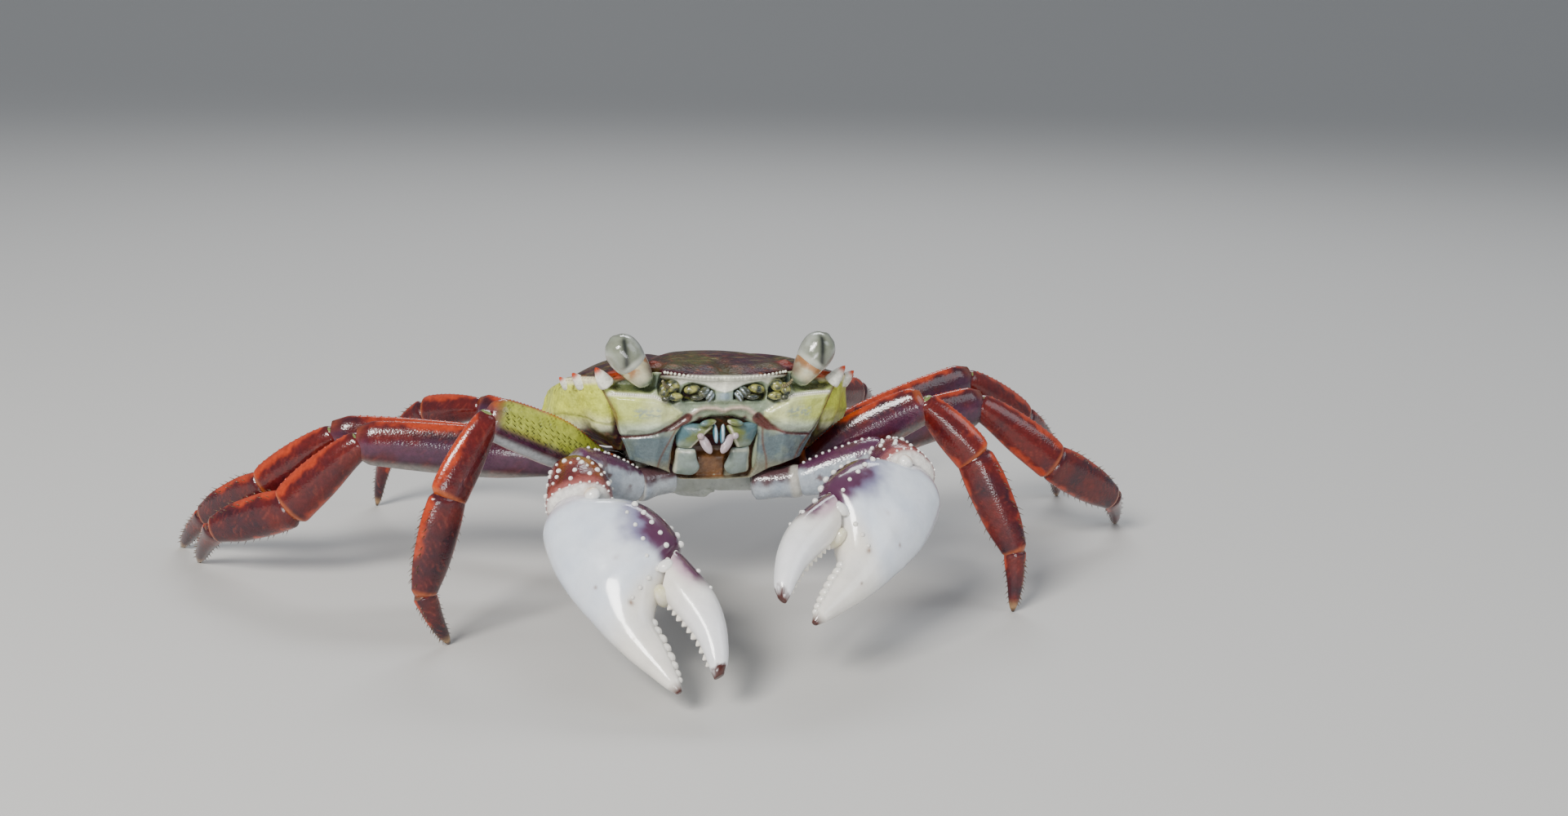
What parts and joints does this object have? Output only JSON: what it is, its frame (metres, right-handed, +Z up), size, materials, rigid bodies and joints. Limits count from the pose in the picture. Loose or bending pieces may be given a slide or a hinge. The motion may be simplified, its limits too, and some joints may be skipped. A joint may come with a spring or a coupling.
{
  "type": "shore crab",
  "caption": "Life-size shore crab model in a standing pose, body tipped nose-up, claws lowered in front and slender legs spread to the ground.",
  "frame": {"origin": "middle of the underside of the crab's bounding box, at the ground the leg tips stand on", "axes": "+Z up, -Y the way the crab faces, +X to the crab's left, along the spread of its legs"},
  "size_m": [0.174, 0.1092, 0.0476],
  "materials": {
    "carapace": "hard shell, dark maroon above and yellow-green on the flanks, wet gloss",
    "leg": "hard shell, dark red with orange edges, wet gloss",
    "claw": "hard shell, bluish porcelain white, smooth and glossy",
    "claw_wrist": "hard shell, dark purple-red with white bumps, glossy",
    "underside": "hard shell, pale blue-grey, satin",
    "mouthpart": "hard shell, pale teal and grey, satin",
    "eye": "smooth grey-green cornea, polished",
    "feeler": "dark horn with olive spots, glossy"
  },
  "bodies": {
    "root": {"leg1_r_coxa": "underside", "leg1_r_merus": "leg", "leg1_r_carpus": "leg", "leg1_r_propodus": "leg", "leg1_r_dactyl": "leg", "leg1_l_coxa": "underside", "leg1_l_merus": "leg", "leg1_l_carpus": "leg", "leg1_l_propodus": "leg", "leg1_l_dactyl": "leg", "leg2_r_coxa": "underside", "leg2_r_merus": "leg", "leg2_r_carpus": "leg", "leg2_r_propodus": "leg", "leg2_r_dactyl": "leg", "leg2_l_coxa": "underside", "leg2_l_merus": "leg", "leg2_l_carpus": "leg", "leg2_l_propodus": "leg", "leg2_l_dactyl": "leg", "leg3_r_coxa": "underside", "leg3_r_merus": "leg", "leg3_r_carpus": "leg", "leg3_r_propodus": "leg", "leg3_r_dactyl": "leg", "leg3_l_coxa": "underside", "leg3_l_merus": "leg", "leg3_l_carpus": "leg", "leg3_l_propodus": "leg", "leg3_l_dactyl": "leg", "leg4_r_coxa": "underside", "leg4_r_merus": "leg", "leg4_r_carpus": "leg", "leg4_r_propodus": "leg", "leg4_r_dactyl": "leg", "leg4_l_coxa": "underside", "leg4_l_merus": "leg", "leg4_l_carpus": "leg", "leg4_l_propodus": "leg", "leg4_l_dactyl": "leg", "claw_r_ischium": "underside", "claw_r_merus": "underside", "claw_r_carpus": "claw_wrist", "claw_r_palm": "claw", "claw_r_dactyl": "claw", "claw_l_ischium": "underside", "claw_l_merus": "underside", "claw_l_carpus": "claw_wrist", "claw_l_palm": "claw", "claw_l_dactyl": "claw", "carapace": "carapace", "sternum": "underside", "abdomen": "underside", "maxilliped_r": "mouthpart", "eye_r": "eye", "antenna_r": "feeler", "maxilliped_l": "mouthpart", "eye_l": "eye", "antenna_l": "feeler"}
  },
  "joints": []
}
